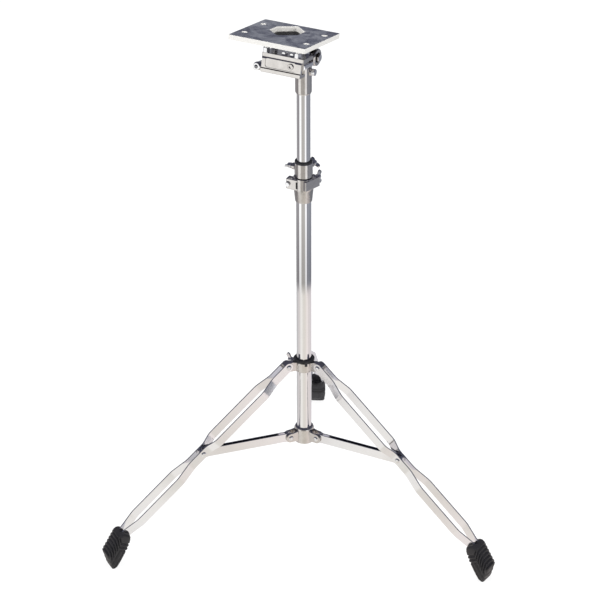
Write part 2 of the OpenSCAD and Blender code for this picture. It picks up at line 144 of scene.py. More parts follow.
def turned(profile, steps=64, closed=False):
    """A lathe-turned solid about Z from a profile of (radius, height)."""
    bm = bmesh.new()
    verts, edges = chain(bm, [(r, 0, h) for r, h in profile], closed)
    bmesh.ops.spin(bm, geom=verts + edges, cent=(0, 0, 0), axis=(0, 0, 1), angle=2 * pi,
                   steps=steps, use_merge=True)
    bmesh.ops.remove_doubles(bm, verts=bm.verts, dist=1e-4)
    bmesh.ops.recalc_face_normals(bm, faces=bm.faces)
    return bm


def tube(r_in, r_out, z0, z1, steps=64):
    return turned([(r_in, z0), (r_out, z0), (r_out, z1), (r_in, z1)], steps, closed=True)


def rod(radius, z0, z1, steps=40):
    return turned([(0, z0), (radius, z0), (radius, z1), (0, z1)], steps)


def extruded(outline, z0, z1, holes=()):
    """A flat outline with holes, pulled up from z0 to z1."""
    bm = bmesh.new()
    edges = chain(bm, [(x, y, z0) for x, y in outline], True)[1]
    for hole in holes:
        edges += chain(bm, [(x, y, z0) for x, y in hole], True)[1]
    if holes:
        bmesh.ops.triangle_fill(bm, edges=edges, use_beauty=True, use_dissolve=False)
    else:
        bmesh.ops.contextual_create(bm, geom=edges)
    top = bmesh.ops.extrude_face_region(bm, geom=list(bm.faces), use_keep_orig=True)["geom"]
    raised = [item for item in top if isinstance(item, bmesh.types.BMVert)]
    bmesh.ops.translate(bm, verts=raised, vec=(0, 0, z1 - z0))
    bmesh.ops.recalc_face_normals(bm, faces=bm.faces)
    return bm


def moved(bm, matrix):
    bmesh.ops.transform(bm, matrix=matrix, verts=bm.verts)
    if matrix.determinant() < 0:
        bmesh.ops.reverse_faces(bm, faces=bm.faces)
    return bm


def shifted(bm, x=0.0, y=0.0, z=0.0):
    return moved(bm, Matrix.Translation((x, y, z)))


def joined(*shapes):
    """Several closed shapes kept side by side in one mesh."""
    whole = shapes[0]
    for other in shapes[1:]:
        scrap = bpy.data.meshes.new("scrap")
        other.to_mesh(scrap)
        other.free()
        whole.from_mesh(scrap)
        bpy.data.meshes.remove(scrap)
    return whole


def bevel(bm, picked, width, segments, affect="EDGES", **more):
    bmesh.ops.bevel(bm, geom=picked, offset=width, offset_type="OFFSET", segments=segments, profile=0.5,
                    affect=affect, material=-1, **more)


def new_object(name, bm):
    """An object in the scene made from a shape, which is used up."""
    mesh = bpy.data.meshes.new(name)
    bm.to_mesh(mesh)
    bm.free()
    made = bpy.data.objects.new(name, mesh)
    bpy.context.scene.collection.objects.link(made)
    return made


def soften(bm, width, angle=32, segments=2, only=None):
    """Rounds the edges that turn by more than the angle."""
    picked = [e for e in bm.edges if len(e.link_faces) == 2 and e.calc_face_angle(0) > radians(angle)]
    if only:
        picked = [e for e in picked if all(only(v.co) for v in e.verts)]
    bevel(bm, picked, width, segments, clamp_overlap=True)
    return bm


CLEAN_UP = 0.01  # edges shorter than this go after a cut


def carve(bm, tool, operation="DIFFERENCE"):
    """Cuts the tool out of the shape, or welds the two together."""
    blank, cutter = new_object("blank", bm), new_object("tool", tool)
    modifier = blank.modifiers.new("cut", "BOOLEAN")
    modifier.operation = operation
    modifier.solver = "EXACT"
    modifier.object = cutter
    result = bmesh.new()
    result.from_object(blank, bpy.context.evaluated_depsgraph_get())
    for item in (blank, cutter):
        mesh = item.data
        bpy.data.objects.remove(item)
        bpy.data.meshes.remove(mesh)
    bmesh.ops.remove_doubles(result, verts=result.verts, dist=CLEAN_UP)
    bmesh.ops.dissolve_degenerate(result, edges=result.edges, dist=CLEAN_UP)
    return result


def welded(*shapes):
    whole = shapes[0]
    for other in shapes[1:]:
        whole = carve(whole, other, "UNION")
    return whole


SHARP_ANGLE = radians(40)


def finish_piece(name, bm, place, material, body, stands_for):
    """Turns a shape into a placed, smooth-shaded piece that rides on its body."""
    bm.transform(place)
    if place.determinant() < 0:
        bmesh.ops.reverse_faces(bm, faces=bm.faces)
    piece = new_object(name, bm)
    piece.data.shade_smooth()
    piece.data.set_sharp_from_angle(angle=SHARP_ANGLE)
    piece.data.materials.append(material)
    normals = piece.modifiers.new("even normals", "WEIGHTED_NORMAL")
    normals.keep_sharp = True
    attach(piece, body)
    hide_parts(*stands_for)
    return piece


# ---------------------------------------------------------------- finishes

def node(tree, kind, *feeds, **settings):
    """A shader node: feeds link to its inputs in order, settings go to inputs or properties by name."""
    made = tree.nodes.new(kind)
    for number, feed in enumerate(feeds):
        if feed is not None:
            tree.links.new(feed, made.inputs[number])
    for key, value in settings.items():
        if isinstance(value, bpy.types.NodeSocket):
            tree.links.new(value, made.inputs[key])
        elif key in made.inputs:
            made.inputs[key].default_value = value
        else:
            setattr(made, key, value)
    return made


def remapped(tree, value, low, high, to_low=0.0, to_high=1.0, **settings):
    """A node that spreads the numbers from low to high over another range."""
    made = node(tree, "ShaderNodeMapRange", **settings)
    for label, number in (("From Min", low), ("From Max", high), ("To Min", to_low), ("To Max", to_high)):
        made.inputs[label].default_value = number
    tree.links.new(value, made.inputs["Value"])
    return made


def mixed_colour(tree, share, first, second):
    """Mix of two colours, each given as a value or as a socket."""
    made = node(tree, "ShaderNodeMix", share, data_type="RGBA")
    for number, colour in ((6, first), (7, second)):
        if isinstance(colour, bpy.types.NodeSocket):
            tree.links.new(colour, made.inputs[number])
        else:
            made.inputs[number].default_value = colour
    return made.outputs[2]


def blank_material(name):
    """A new material with an empty node tree."""
    made = bpy.data.materials.new(name)
    made.use_nodes = True
    made.node_tree.nodes.clear()
    return made


def group(name, inputs, outputs):
    """An empty node group with named number inputs and outputs, and its two end nodes."""
    tree = bpy.data.node_groups.new(name, "ShaderNodeTree")
    tree.interface.new_socket("Vector", in_out="INPUT", socket_type="NodeSocketVector")
    for label, value in inputs.items():
        socket = tree.interface.new_socket(label, in_out="INPUT", socket_type="NodeSocketFloat")
        socket.default_value = value
    for label in outputs:
        tree.interface.new_socket(label, in_out="OUTPUT", socket_type="NodeSocketFloat")
    return tree, tree.nodes.new("NodeGroupInput"), tree.nodes.new("NodeGroupOutput")


# the part of a noise between which smudges grow duller and scratches appear
SMUDGE_RANGE, SCRATCH_RANGE = (0.36, 0.68), (0.6, 0.72)


def smudge_group():
    """Handling marks: roughness that wanders between two values."""
    tree, given, result = group("smudges", {"Scale": 20, "Polished": 0.05, "Dull": 0.12}, ["Roughness", "Mask"])
    noise = node(tree, "ShaderNodeTexNoise", given.outputs["Vector"], Scale=given.outputs["Scale"], Detail=6,
                 Roughness=0.62, Distortion=0.8)
    spread = remapped(tree, noise.outputs["Fac"], *SMUDGE_RANGE)
    tree.links.new(given.outputs["Polished"], spread.inputs["To Min"])
    tree.links.new(given.outputs["Dull"], spread.inputs["To Max"])
    tree.links.new(spread.outputs["Result"], result.inputs["Roughness"])
    tree.links.new(noise.outputs["Fac"], result.inputs["Mask"])
    return tree


def scratch_group():
    """Fine scratches in two directions, as a height and a mask."""
    tree, given, result = group("scratches", {"Scale": 60, "Amount": 0.5}, ["Height", "Mask"])
    layers = []
    for turn, stretch in ((0.5, (1, 34, 1)), (-0.9, (27, 1, 1))):
        lay = node(tree, "ShaderNodeMapping", given.outputs["Vector"], Rotation=(0, 0, turn), Scale=stretch)
        noise = node(tree, "ShaderNodeTexNoise", lay.outputs["Vector"], Scale=given.outputs["Scale"], Detail=3,
                     Roughness=0.5)
        layers.append(remapped(tree, noise.outputs["Fac"], *SCRATCH_RANGE).outputs["Result"])
    both = node(tree, "ShaderNodeMath", *layers, operation="MAXIMUM").outputs[0]
    strength = node(tree, "ShaderNodeMath", both, given.outputs["Amount"], operation="MULTIPLY").outputs[0]
    tree.links.new(strength, result.inputs["Mask"])
    tree.links.new(strength, result.inputs["Height"])
    return tree


def grain_group():
    """Cast or moulded skin: soft swells under a fine grain, as a height."""
    tree, given, result = group("skin grain", {"Swell": 120, "Grain": 900, "Share": 0.3}, ["Height"])
    layers = [node(tree, "ShaderNodeTexNoise", given.outputs["Vector"], Scale=given.outputs[label], Detail=detail,
                   Roughness=roughness).outputs["Fac"]
              for label, detail, roughness in (("Swell", 2, 0.5), ("Grain", 4, 0.6))]
    blend = node(tree, "ShaderNodeMix", given.outputs["Share"], None, *layers, data_type="FLOAT")
    tree.links.new(blend.outputs[0], result.inputs["Height"])
    return tree


SMUDGES, SCRATCHES, GRAIN = smudge_group(), scratch_group(), grain_group()


def placed_group(tree, kind, vector, **values):
    made = tree.nodes.new("ShaderNodeGroup")
    made.node_tree = kind
    tree.links.new(vector, made.inputs["Vector"])
    for label, value in values.items():
        made.inputs[label].default_value = value
    return made


RELIEF_DEPTH = 0.0004


def finish(name, light, dark, metallic, polished, dull, smudge, swell, grain, share, bump, scratch=0.0,
           scratch_scale=60, coat=0.0):
    """A finish with a two-tone base, wandering roughness, a skin and optional scratches."""
    made = blank_material(name)
    tree = made.node_tree
    where = node(tree, "ShaderNodeTexCoord").outputs["Object"]
    shader = node(tree, "ShaderNodeBsdfPrincipled")
    shader.inputs["Metallic"].default_value = metallic
    shader.inputs["Coat Weight"].default_value = coat
    marks = placed_group(tree, SMUDGES, where, Scale=smudge, Polished=polished, Dull=dull)
    skin = placed_group(tree, GRAIN, where, Swell=swell, Grain=grain, Share=share)
    tone = mixed_colour(tree, marks.outputs["Mask"], (*light, 1), (*dark, 1))
    tree.links.new(tone, shader.inputs["Base Color"])
    height, rough = skin.outputs["Height"], marks.outputs["Roughness"]
    if scratch > 0:
        lines = placed_group(tree, SCRATCHES, where, Scale=scratch_scale, Amount=scratch)
        rough = node(tree, "ShaderNodeMath", rough, lines.outputs["Mask"], operation="ADD").outputs[0]
        height = node(tree, "ShaderNodeMath", height, lines.outputs["Height"], operation="SUBTRACT").outputs[0]
    relief = node(tree, "ShaderNodeBump", Strength=bump, Distance=RELIEF_DEPTH, Height=height)
    tree.links.new(rough, shader.inputs["Roughness"])
    tree.links.new(relief.outputs["Normal"], shader.inputs["Normal"])
    node(tree, "ShaderNodeOutputMaterial", shader.outputs["BSDF"])
    return made


tube_chrome = finish("tube_chrome", (.95, .95, .96), (.88, .88, .9), 1, .03, .09, 14, 30, 500, .15, .04)
strip_chrome = finish("strip_chrome", (.94, .94, .96), (.86, .86, .89), 1, .06, .15, 25, 45, 700, .2, .14,
                      scratch=.04, scratch_scale=50)
cast_plating = finish("cast_plating", (.80, .78, .76), (.58, .55, .53), 1, .08, .2, 45, 110, 900, .3, .35)
bright_hardware = finish("bright_hardware", (.92, .92, .93), (.80, .80, .82), 1, .06, .16, 80, 200, 1200, .3, .15)
plate_finish_and_shade = finish("plate_finish_and_shade", (.95, .96, 1), (.42, .43, .53), 1, .10, .34, 30, 55, 1500, .45, .3,
                      scratch=.16, scratch_scale=38)
moulded_nylon = finish("moulded_nylon", (.010, .010, .011), (.018, .018, .02), 0, .28, .42, 70, 150, 1500, .6, .2)
# painted shade: the backing sheet is near-black to stand in for the shade seen through the plate's window
painted_shade_black = finish("painted_shade_black", (.003, .003, .0035), (.008, .008, .009), 0, .55, .75, 60, 140, 1300, .5, .2)
foot_rubber = finish("foot_rubber", (.008, .008, .010), (.020, .019, .021), 0, .42, .62, 60, 160, 1600, .6, .4)


# the plate's top and underside start at these slopes; its sides show a darker grey with little metal, as painted
# shade, and its underside black, as painted shade
FLAT_FROM, FLAT_FULL = 0.86, 0.96
SIDE_SHADE_COLOUR, SIDE_METAL, UNDERSIDE_SHADE_BLACK = (.54, .53, .51), 0.06, (.02, .02, .022)
CLOUD_RANGE = (0.40, 0.62)


def mark_faces(material, up):
    """Sides in a darker grey with little metal and a black underside, both painted shade, and a clouded top, told
    apart by which way each face looks.
    """
    tree = material.node_tree
    shader = next(n for n in tree.nodes if n.type == "BSDF_PRINCIPLED")
    tone = shader.inputs["Base Color"].links[0].from_node
    cloud = remapped(tree, tone.inputs[0].links[0].from_socket, *CLOUD_RANGE, interpolation_type="SMOOTHSTEP")
    tree.links.new(cloud.outputs["Result"], tone.inputs[0])
    facing = node(tree, "ShaderNodeVectorMath", node(tree, "ShaderNodeTexCoord").outputs["Normal"],
                  operation="DOT_PRODUCT")
    facing.inputs[1].default_value = up
    slope = facing.outputs["Value"]
    top = remapped(tree, slope, FLAT_FROM, FLAT_FULL).outputs["Result"]
    # painted shade: faces looking down turn black
    underside_shade = remapped(tree, slope, -FLAT_FROM, -FLAT_FULL).outputs["Result"]
    metal = remapped(tree, slope, FLAT_FROM, FLAT_FULL, SIDE_METAL, 1).outputs["Result"]
    # painted shade: the sides take a darker grey than the top
    sides = mixed_colour(tree, top, (*SIDE_SHADE_COLOUR, 1), tone.outputs[2])
    tree.links.new(mixed_colour(tree, underside_shade, sides, (*UNDERSIDE_SHADE_BLACK, 1)), shader.inputs["Base Color"])
    tree.links.new(metal, shader.inputs["Metallic"])


mark_faces(plate_finish_and_shade, plate_normal)


def piece(name, bm, place, material, body, *stands_for):
    return finish_piece(name, bm, place, material, body, stands_for)


# ---------------------------------------------------------------- fasteners

def dome(radius, height, steps=6):
    """Profile of a domed head, from its rim to its crown."""
    return [(radius * cos(pi / 2 * i / steps), height * sin(pi / 2 * i / steps)) for i in range(steps + 1)]


def rivet(half_length, shaft, head, height):
    """A rivet along Y with a domed head at each end."""
    up = [(r, half_length + h) for r, h in dome(head, height)]
    down = [(r, -h) for r, h in reversed(up)]
    bm = turned(down + [(shaft, -half_length), (shaft, half_length)] + up, 32)
    return moved(bm, ALONG_Y)


def threaded(radius, x0, x1):
    """A threaded shank along X."""
    pitch, depth = 1.0, 0.35
    turns = max(1, int((x1 - x0) / pitch))
    profile = [(0, x0), (radius - depth, x0)]
    for i in range(turns):
        profile += [(radius, x0 + (i + 0.5) * pitch), (radius - depth, x0 + (i + 1) * pitch)]
    profile += [(radius - depth, x1), (0, x1)]
    return moved(turned(profile, 24), ALONG_X)


def wing(x0, x1, root, reach, thickness):
    """One wing of a wing screw, lying in the XY plane."""
    outline = rounded([(x0, root, 0), (x0 + 3.4, reach, 4.2), (x1 + 5.4, reach, 4.2), (x1, root, 0)], 6)
    return soften(extruded(outline, -thickness / 2, thickness / 2), 0.9, segments=3)


def wing_screw(x0, x1, reach, turn):
    """A wing screw along X with its washer, hub and two wings."""
    hub = turned([(0, x1), (4.8, x1), (5.4, x1 + 0.8), (5.4, x1 + 3), (4.6, x1 + 7.4), (3.2, x1 + 9), (0, x1 + 9)])
    soften(hub, 0.5, segments=2)
    wings = [moved(wing(x1 + 1.6, x1 + 8.4, 2.6, reach, 3.2), Matrix.Rotation(turn + side, 4, "X"))
             for side in (0, pi)]
    return joined(threaded(3, x0, x1 + 1), moved(hub, ALONG_X), *wings)


def hexagon(radius):
    return arc(0, 0, radius, 0, 2 * pi, 6)[:-1]


def hex_head(radius, height):
    """A hexagon head standing on z = 0, its upper corners turned off, with a washer face below."""
    head = extruded(hexagon(radius), 0.4, height)
    cone = turned([(0, -1), (radius + 0.2, -1), (radius + 0.2, height - 1), (radius * 0.84, height), (0, height)], 48)
    head = soften(carve(head, cone, "INTERSECT"), 0.25, segments=2)
    return joined(head, rod(radius * 0.86, 0, 0.5))


# ---------------------------------------------------------------- column

def straight_tube(name, cad_node, wall, body):
    low, high = low_high(cad_node)
    radius = (high.x - low.x) / 2
    shape = soften(tube(radius - wall, radius, low.z, high.z, 112), 0.4)
    return piece(name, shape, COLUMN, tube_chrome, body, cad_node)


BASE_WALL, UPPER_WALL = 1.5, 1.5
R_BASE, R_UPPER = 14.3, 12.7
straight_tube("lower_tube", "base_tube", BASE_WALL, "column")
straight_tube("sliding_tube", "upper_tube", UPPER_WALL, "upper_column")


def end_plug(name, cad_node, flange, plug, lip, body):
    low, high = low_high(cad_node)
    profile = [(0, low.z), (flange - 1.2, low.z), (flange, low.z + 0.9), (flange, low.z + lip), (plug, low.z + lip),
               (plug, high.z), (plug - 1.6, high.z), (plug - 2.2, low.z + lip), (0, low.z + lip)]
    return piece(name, turned(profile), COLUMN, moulded_nylon, body, cad_node)


end_plug("lower_end_plug", "base_plug", R_BASE, R_BASE - BASE_WALL - 0.05, 2.4, "column")
end_plug("upper_end_plug", "upper_plug", R_UPPER, R_UPPER - UPPER_WALL - 0.05, 2.9, "upper_column")

LEGS = [atan2(-joints[f"leg_{k}_hinge"]["axis"][0], joints[f"leg_{k}_hinge"]["axis"][1]) for k in (1, 2, 3)]


def pivot_distance(joint_name):
    return (Vector(joints[joint_name]["pos_m"]) / MM - column_axis).xy.length


def pivot_height(joint_name):
    return joints[joint_name]["pos_m"][2] / MM


def at_each_leg(shape, *sizes, reach, height):
    """The same shape at the root of each leg."""
    return joined(*[moved(shifted(shape(*sizes), x=reach, z=height), turn_z(angle))
                    for angle in LEGS])


def lower_collar():
    """Sleeve on the column with three pairs of ears that hold the braces."""
    low, high = low_high("brace_collar")
    reach, height = pivot_distance("brace_1_hinge"), pivot_height("brace_1_hinge")
    whole = turned([(R_BASE + .02, low.z), (19, low.z), (19.6, low.z + 1), (19.6, high.z - 4), (17.4, high.z),
                    (R_BASE + .02, high.z)], 72, closed=True)
    ear = rounded([(15, height - 11, 1), (26, height - 9.6, 8), (reach + 9.4, height - 9.4, 9.3),
                   (reach + 9.4, height + 9.4, 9.3), (26, height + 9.7, 8), (15, height + 11.6, 1)], 7)
    for angle in LEGS:
        for side in (-1, 1):
            plate = soften(extruded(ear, -1.75, 1.75), 0.8, segments=2)
            plate = moved(plate, Matrix.Rotation(pi / 2, 4, "X"))
            plate = moved(plate, turn_z(angle) @ Matrix.Translation((0, side * 6.95, 0)))
            whole = joined(whole, plate)
    piece("lower_collar", whole, COLUMN, cast_plating, "column", "brace_collar")
    pins = at_each_leg(rivet, 8.75, 3, 5.2, 2.3, reach=reach, height=height)
    piece("lower_collar_rivets", pins, COLUMN, bright_hardware, "column", "brace_pins")


def leg_collar():
    """Sliding collar with three lugs for the legs and a boss for its wing screw."""
    low, high = low_high("leg_collar_bushing")
    reach, height = pivot_distance("leg_1_hinge"), pivot_height("leg_1_hinge")
    foot = low.z + 1.5
    top = foot + 19.8
    whole = turned([(16.02, foot), (18.6, foot), (19.4, foot + 0.9), (19.4, top - 0.9), (18.8, top), (16.02, top)],
                   72, closed=True)
    lug = rounded([(16, foot + 1, 1), (30, foot + 2.6, 10), (reach + 8.8, height - 9.3, 8.7),
                   (reach + 8.8, height + 8.3, 8.7), (reach - 10, height + 8.2, 6), (16, top - 0.4, 1)], 7)
    for angle in LEGS:
        plate = soften(extruded(lug, -5.05, 5.05), 1.2, segments=3)
        whole = joined(whole, moved(plate, turn_z(angle) @ Matrix.Rotation(pi / 2, 4, "X")))
    screw = joints["leg_collar_screw_turn"]
    boss = turned([(3.1, 16.4), (8.6, 16.4), (7.2, 19.6), (7.2, 24.2), (6.4, 25), (3.1, 25)], closed=True)
    boss = moved(boss, ALONG_X)
    turn = Matrix.Translation((0, 0, screw["pos_m"][2] / MM)) @ turn_z(LEGS[0] + pi)
    piece("leg_collar_casting", joined(whole, moved(boss, turn)), COLUMN, cast_plating, "leg_collar", "leg_collar")

    inner = R_BASE + 0.06
    sleeve = turned([(inner, low.z), (16, low.z), (16, top + .1), (19.6, top + .1), (20.4, top + .9),
                     (20.4, high.z - 1), (19.4, high.z), (inner + .8, high.z), (inner, high.z - .8)], 72, closed=True)
    notch = shifted(extruded(rounded(box_corners(17.6, 24, -2, 2, .6)), -2, 12), z=top)
    sleeve = carve(sleeve, moved(notch, turn_z(LEGS[0] + radians(300))))
    tab = soften(extruded(rounded(box_corners(18.5, 20.6, -2.6, 2.6, .5)), top - 5, top + .6), .4)
    sleeve = joined(sleeve, moved(tab, turn_z(radians(307))))
    piece("leg_collar_bush", sleeve, COLUMN, moulded_nylon, "leg_collar", "leg_collar_bushing")
    pins = at_each_leg(rivet, 7.98, 3.2, 5.4, 2.5, reach=reach, height=height)
    piece("leg_collar_rivets", pins, COLUMN, bright_hardware, "leg_collar", "leg_pins")
    piece("leg_collar_wing_screw", wing_screw(16.3, 27, 15, radians(80)), screw_place("leg_collar_screw_turn"),
          bright_hardware, "leg_collar_screw", "leg_collar_wing_bolt")


CLAMP_TURN = radians(70)  # from the left ear's direction to the right ear's


def height_clamp():
    """Cast clamp on the lower tube's mouth: flared skirt, two split ears, hinge bolt and wing screw."""
    mouth = low_high("base_tube")[1].z
    low, high = low_high("tube_clamp")
    body = turned([(0, low.z), (15.5, low.z), (16.1, low.z + .8), (18.4, low.z + 24), (19.2, low.z + 29),
                   (19.2, high.z - 1), (18.4, high.z), (0, high.z)], 72)
    left = soften(extruded(rounded(box_corners(-27, -2.6, -20.5, -6, 2.2)), low.z + 28, low.z + 49), 1.1, segments=3)
    right = soften(extruded(rounded(box_corners(-14, 23, -19.8, -3.2, 1.4)), low.z + 28.5, low.z + 48.5), 1.1,
                   segments=3)
    whole = welded(body, left, moved(right, turn_z(CLAMP_TURN)))
    bore = turned([(0, low.z - 5), (R_BASE + .02, low.z - 5), (R_BASE + .02, mouth + .2), (13.6, mouth + .2),
                   (13.6, high.z + 5), (0, high.z + 5)])
    slot = extruded(rounded(box_corners(-6.6, -3.2, -24, -16.2, .3)), low.z + 31.5, low.z + 45.5)
    split = moved(extruded(rounded(box_corners(20, 30, -11.6, -8.8, .3)), low.z, high.z + 5),
                  turn_z(CLAMP_TURN))
    for cut in (bore, slot, split):
        whole = carve(whole, cut)
    soften(whole, 0.45, angle=50, segments=2)
    piece("height_clamp", whole, COLUMN, cast_plating, "column", "tube_clamp")
    sleeve = tube(R_UPPER + .06, 13.55, mouth + .4, high.z + .3)
    # painted shade: a black block in the split slot stands in for the shade inside it
    key = soften(extruded(rounded(box_corners(-6.5, -3.3, -18.8, -16.3, .2)), low.z + 31.6, low.z + 45.4), 0.2)
    piece("height_clamp_bush", joined(sleeve, key), COLUMN, moulded_nylon, "column", "clamp_bushing")
    nut = moved(hex_head(5, 3.3), Matrix.Translation((0, -20.6, 0)) @ ALONG_Y @ FLIP_Y)
    bolt = joined(moved(rod(2.5, -20.8, -4.5), ALONG_Y), nut, moved(rod(4.4, -5.9, -2.9), ALONG_Y))
    shifted(bolt, x=-23, z=low.z + 38.5)
    piece("height_clamp_hinge_bolt", bolt, COLUMN, bright_hardware, "column", "clamp_hinge_bolt")
    piece("height_clamp_wing_screw", wing_screw(18, 29, 13.2, radians(90)), screw_place("clamp_screw_turn"),
          bright_hardware, "clamp_screw", "clamp_wing_bolt")


def memory_lock():
    """Collar above the clamp that keeps the height setting, with its two screws and nylon liner."""
    low, high = low_high("memory_lock_liner")
    foot, top = low.z - .2, high.z - 3.1
    middle_height = pivot_height("lock_screw_turn")
    ring = turned([(14.62, foot), (16.2, foot), (17, foot + .9), (17, top - .9), (16.2, top), (14.62, top)], 72,
                  closed=True)
    for joint_name, reach in (("lock_screw_turn", 24), ("lock_side_screw_turn", 23)):
        axis = joints[joint_name]["axis"]
        boss = turned([(3.1, 14.8), (7.6, 14.8), (6.4, 18), (6.4, reach - .8), (5.6, reach), (3.1, reach)],
                      closed=True)
        turn = turn_z(atan2(axis[1], axis[0])) @ ALONG_X
        ring = joined(ring, shifted(moved(boss, turn), z=middle_height))
    piece("memory_lock_ring", ring, COLUMN, cast_plating, "memory_lock", "memory_lock")
    inner = R_UPPER + .06
    liner = turned([(inner, low.z), (14.6, low.z), (14.6, top + .1), (16, top + .1), (16.6, top + .8),
                    (16.6, high.z - .8), (15.8, high.z), (inner, high.z)], 72, closed=True)
    piece("memory_lock_bush", liner, COLUMN, moulded_nylon, "memory_lock", "memory_lock_liner")
    piece("memory_lock_wing_screw", wing_screw(16, 25.5, 12, radians(35)), screw_place("lock_screw_turn"),
          bright_hardware, "lock_screw", "memory_lock_wing_bolt")
    piece("memory_lock_thumb_screw", wing_screw(16, 24, 12, radians(12)), screw_place("lock_side_screw_turn"),
          bright_hardware, "lock_side_screw", "memory_lock_side_screw")


# ---------------------------------------------------------------- legs and braces

STRIP_WIDTH, STRIP_THICK, PINCH, SPREAD = 18.5, 2.5, 6.6, 15.3
STRIP_PATH = [(-9, PINCH), (38, PINCH), (70, SPREAD), (199, SPREAD), (220, PINCH), (265, PINCH), (302, SPREAD),
              (411, SPREAD), (447, PINCH), (466, PINCH)]


def strip(side):
    """A bent steel strip along X, one of the pair that makes a leg."""
    bm = bmesh.new()
    edges = chain(bm, [(x, side * y, -STRIP_WIDTH / 2) for x, y in STRIP_PATH], False)[1]
    pulled = bmesh.ops.extrude_edge_only(bm, edges=edges)["geom"]
    raised = [item for item in pulled if isinstance(item, bmesh.types.BMVert)]
    bmesh.ops.translate(bm, verts=raised, vec=(0, 0, STRIP_WIDTH))
    folds = [e for e in bm.edges if len(e.link_faces) == 2]
    bevel(bm, folds, 5, 4)
    start = min(v.co.x for v in bm.verts)
    corners = [v for v in bm.verts if v.co.x < start + 0.1]
    bevel(bm, corners, 8.8, 8, "VERTICES")
    bmesh.ops.recalc_face_normals(bm, faces=bm.faces)
    for face in bm.faces:
        face.normal_update()
    if bm.faces[0].normal.y * side < 0:
        bmesh.ops.reverse_faces(bm, faces=bm.faces)
    bmesh.ops.solidify(bm, geom=list(bm.faces), thickness=STRIP_THICK)
    ys = [abs(v.co.y) for v in bm.verts if v.co.x < 20]
    shifted(bm, y=side * (PINCH - (min(ys) + max(ys)) / 2))
    bmesh.ops.recalc_face_normals(bm, faces=bm.faces)
    return soften(bm, 0.55, angle=60, segments=3)


def leg_rivets(leg_mid):
    """Domed rivet heads at the brace pivot, on both strips."""
    heads = []
    for side in (-1, 1):
        out = PINCH + STRIP_THICK / 2
        profile = [(0, PINCH - 2.4), (3.2, PINCH - 2.4), (3.2, out)] + [(r, out + h) for r, h in dome(5.4, 2.4)]
        head = shifted(moved(turned(profile, 32), ALONG_Y), x=leg_mid)
        heads.append(moved(head, Matrix.Diagonal((1, side, 1, 1))))
    return joined(*heads)


FOOT_AT, FOOT_BEND = 455, radians(20)
FOOT_START, FOOT_END, RIB_PITCH, RIB_DEPTH = -9, 69.6, 7.6, 2.3
# distance along the foot, half width, upper edge, lower edge
FOOT_STATIONS = [(-9, 14, 7, -8), (-7.8, 16.6, 10, -11), (-5, 18.4, 13, -13.4), (0, 19.2, 15.2, -15.8),
                 (6, 19.4, 15.8, -17.6), (20, 19.4, 16.1, -20.4), (45, 19.3, 16.6, -21.2), (50, 19, 11.8, -20.6),
                 (60, 18.2, 0.8, -18.6), (66, 16.6, -5.8, -15.4), (69.6, 13.5, -11.2, -13)]
# the V ribs start at FIRST_RIB and meet at VERTEX_LINE; the sole's ribs run lengthwise from SOLE_START on
FIRST_RIB, VERTEX_LINE, SOLE_START, SOLE_PITCH = 7.7, 4, 24, 8.5
RIB_RISE, RIB_FALL, RIB_SHARPNESS = 1.4, 0.13, 1.4
SQUARENESS, NOTCH_DEPTH, NOTCH_HALF = 0.55, 4.5, 8


def foot_section(x):
    """Half width, upper edge and lower edge of the rubber foot at a distance along it."""
    for before, after in zip(FOOT_STATIONS, FOOT_STATIONS[1:]):
        if x <= after[0]:
            share = max(0, (x - before[0]) / (after[0] - before[0]))
            return [low + (high - low) * share for low, high in zip(before[1:], after[1:])]
    return FOOT_STATIONS[-1][1:]


def ridge(turns):
    """From 0 on a rib to 1 in a groove, once in every turn."""
    return (0.5 + 0.5 * cos(2 * pi * turns)) ** RIB_SHARPNESS


def eased(amount):
    return min(1, max(0, amount))


def rib_wave(x, z):
    """Depth of the ribs as a share: V ribs above, lengthwise ribs under the sole."""
    above = z - VERTEX_LINE
    along = x + (RIB_RISE if above > 0 else -RIB_FALL) * above
    vees = ridge((along - 11.5) / RIB_PITCH) if along > FIRST_RIB else 0
    lengthwise = ridge((z - 6) / SOLE_PITCH)
    share = eased((x - SOLE_START) / 3) * eased((2.5 - above) / 3)
    return vees * (1 - share) + lengthwise * share


